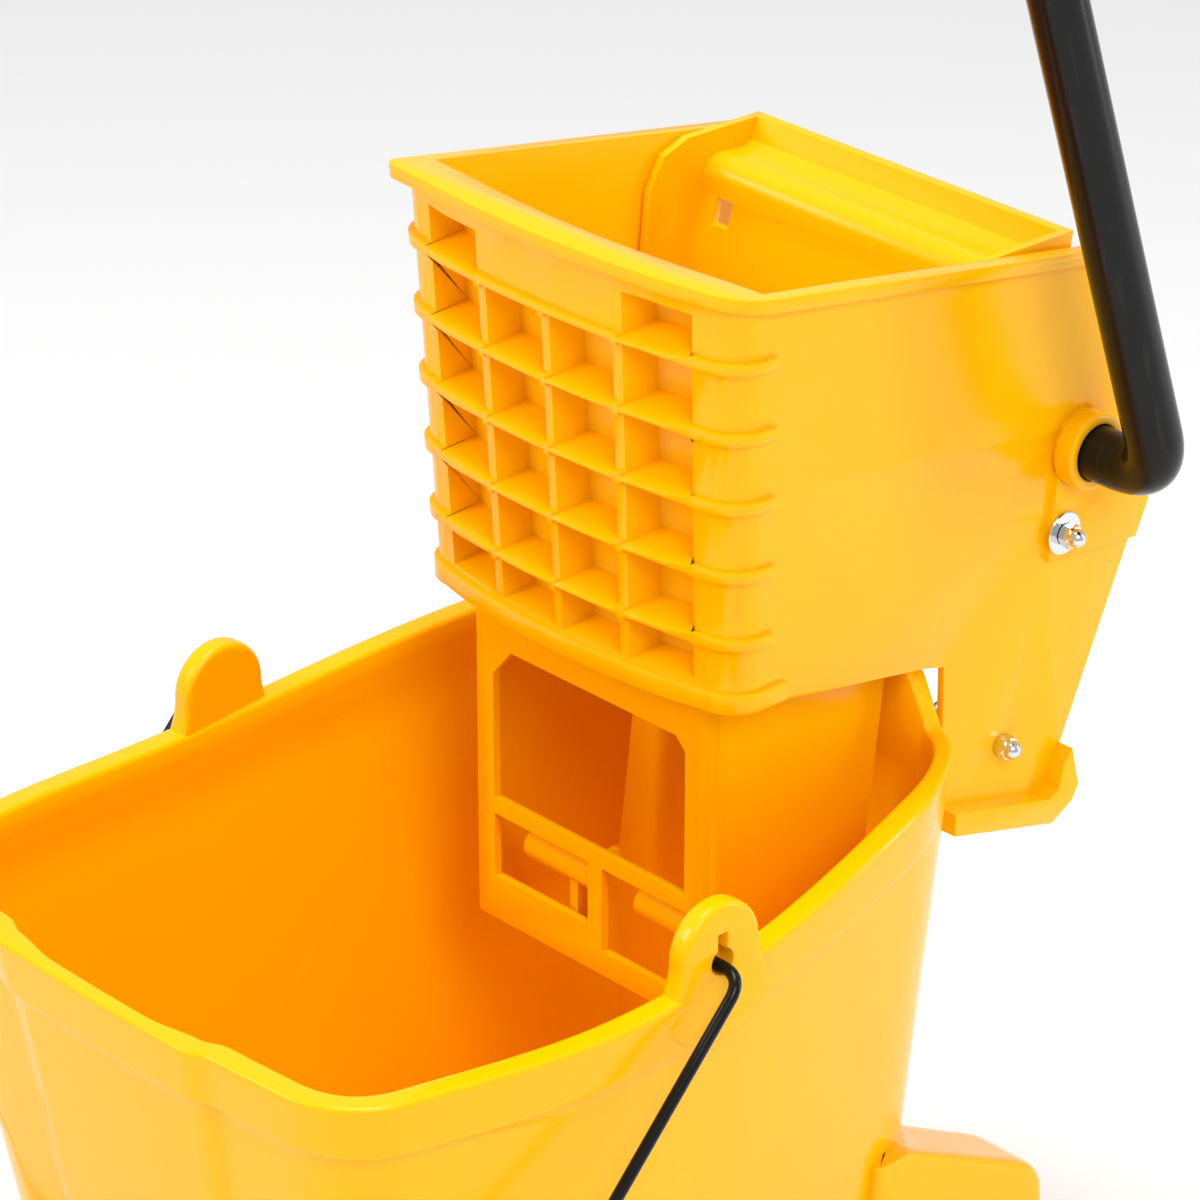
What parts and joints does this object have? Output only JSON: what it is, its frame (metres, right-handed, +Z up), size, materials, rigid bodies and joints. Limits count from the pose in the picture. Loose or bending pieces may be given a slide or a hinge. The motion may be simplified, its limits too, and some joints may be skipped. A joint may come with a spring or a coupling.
{
  "type": "mop bucket with wringer",
  "caption": "Wheeled plastic mop bucket with a lever wringer hooked over its back wall, a pressing plate in the hopper and a wire bail.",
  "frame": {"origin": "on the floor, under the middle of the whole object's box", "axes": "+Z up, +X to the side of the lever, +Y towards the wringer at the back"},
  "size_m": [0.3592, 0.5264, 0.9129],
  "materials": {
    "bucket_plastic": "moulded yellow polypropylene, semi-gloss",
    "wringer_plastic": "moulded yellow polypropylene, semi-gloss",
    "press_plate_plastic": "moulded yellow polypropylene, semi-gloss",
    "black_enamel": "satin black enamel on steel",
    "black_grip": "matte moulded",
    "black_nylon": "moulded nylon",
    "grey_wheel": "grey thermoplastic rubber",
    "bright_zinc": "bright nickel or zinc plate"
  },
  "bodies": {
    "bucket": {"bucket_tub": "bucket_plastic", "rear_left_caster_stem": "bright_zinc", "rear_right_caster_stem": "bright_zinc", "front_left_caster_stem": "bright_zinc", "front_right_caster_stem": "bright_zinc"},
    "rear_left_caster_swivel": {"rear_left_caster_fork": "black_nylon", "rear_left_caster_axle": "bright_zinc"},
    "rear_left_caster_roll": {"rear_left_caster_wheel": "grey_wheel"},
    "rear_right_caster_swivel": {"rear_right_caster_fork": "black_nylon", "rear_right_caster_axle": "bright_zinc"},
    "rear_right_caster_roll": {"rear_right_caster_wheel": "grey_wheel"},
    "front_left_caster_swivel": {"front_left_caster_fork": "black_nylon", "front_left_caster_axle": "bright_zinc"},
    "front_left_caster_roll": {"front_left_caster_wheel": "grey_wheel"},
    "front_right_caster_swivel": {"front_right_caster_fork": "black_nylon", "front_right_caster_axle": "bright_zinc"},
    "front_right_caster_roll": {"front_right_caster_wheel": "grey_wheel"},
    "bail": {"bail_wire": "black_enamel", "bail_grip": "black_grip"},
    "wringer": {"wringer_body": "wringer_plastic", "plate_hinge_rod": "bright_zinc", "shaft_bush_left": "wringer_plastic", "shaft_bush_right": "wringer_plastic", "hinge_nut_left": "bright_zinc", "hinge_nut_right": "bright_zinc", "spring_washer_left": "bright_zinc", "spring_washer_right": "bright_zinc", "spring_bolt_left": "bright_zinc", "spring_bolt_right": "bright_zinc", "spring_nut_left": "bright_zinc", "spring_nut_right": "bright_zinc", "return_spring_left": "bright_zinc", "return_spring_right": "bright_zinc"},
    "lever": {"lever_tube": "black_enamel", "lever_grip": "black_grip", "press_cam_left": "black_nylon", "press_cam_right": "black_nylon", "cam_screw_left": "bright_zinc", "cam_screw_right": "bright_zinc", "shaft_end_cap": "black_grip"},
    "press_plate_body": {"press_plate": "press_plate_plastic"}
  },
  "joints": [
    {"name": "wringer_lift", "type": "slide", "parent": "bucket", "child": "wringer", "axis": [0, 0, 1], "range_m": [0, 0.12]},
    {"name": "lever_hinge", "type": "hinge", "parent": "wringer", "child": "lever", "pos_m": [0, 0.21516, 0.464], "axis": [-1, 0, 0], "range_deg": [0, 70]},
    {"name": "press_plate_hinge", "type": "hinge", "parent": "wringer", "child": "press_plate_body", "pos_m": [0, 0.17516, 0.328], "axis": [1, 0, 0], "range_deg": [0, 25], "stiffness_Nm_per_rad": 0.6, "springref_deg": -28.65},
    {"name": "bail_hinge", "type": "hinge", "parent": "bucket", "child": "bail", "pos_m": [0, -0.06384, 0.3375], "axis": [-1, 0, 0], "range_deg": [0, 140]},
    {"name": "rear_left_caster_swivel_joint", "type": "hinge", "parent": "bucket", "child": "rear_left_caster_swivel", "pos_m": [-0.102, 0.16115, 0.05], "axis": [0, 0, 1], "continuous": true},
    {"name": "rear_left_caster_wheel_spin", "type": "hinge", "parent": "rear_left_caster_swivel", "child": "rear_left_caster_roll", "pos_m": [-0.102, 0.17916, 0.02484], "axis": [1, 0, 0], "continuous": true},
    {"name": "rear_right_caster_swivel_joint", "type": "hinge", "parent": "bucket", "child": "rear_right_caster_swivel", "pos_m": [0.102, 0.16115, 0.05], "axis": [0, 0, 1], "continuous": true},
    {"name": "rear_right_caster_wheel_spin", "type": "hinge", "parent": "rear_right_caster_swivel", "child": "rear_right_caster_roll", "pos_m": [0.102, 0.17916, 0.02484], "axis": [1, 0, 0], "continuous": true},
    {"name": "front_left_caster_swivel_joint", "type": "hinge", "parent": "bucket", "child": "front_left_caster_swivel", "pos_m": [-0.102, -0.23284, 0.05], "axis": [0, 0, 1], "continuous": true},
    {"name": "front_left_caster_wheel_spin", "type": "hinge", "parent": "front_left_caster_swivel", "child": "front_left_caster_roll", "pos_m": [-0.102, -0.21485, 0.02484], "axis": [1, 0, 0], "continuous": true},
    {"name": "front_right_caster_swivel_joint", "type": "hinge", "parent": "bucket", "child": "front_right_caster_swivel", "pos_m": [0.102, -0.23284, 0.05], "axis": [0, 0, 1], "continuous": true},
    {"name": "front_right_caster_wheel_spin", "type": "hinge", "parent": "front_right_caster_swivel", "child": "front_right_caster_roll", "pos_m": [0.102, -0.21485, 0.02484], "axis": [1, 0, 0], "continuous": true}
  ],
  "couplings": [
    {"joint": "press_plate_hinge", "follows": "lever_hinge", "ratio": 0.35714}
  ]
}
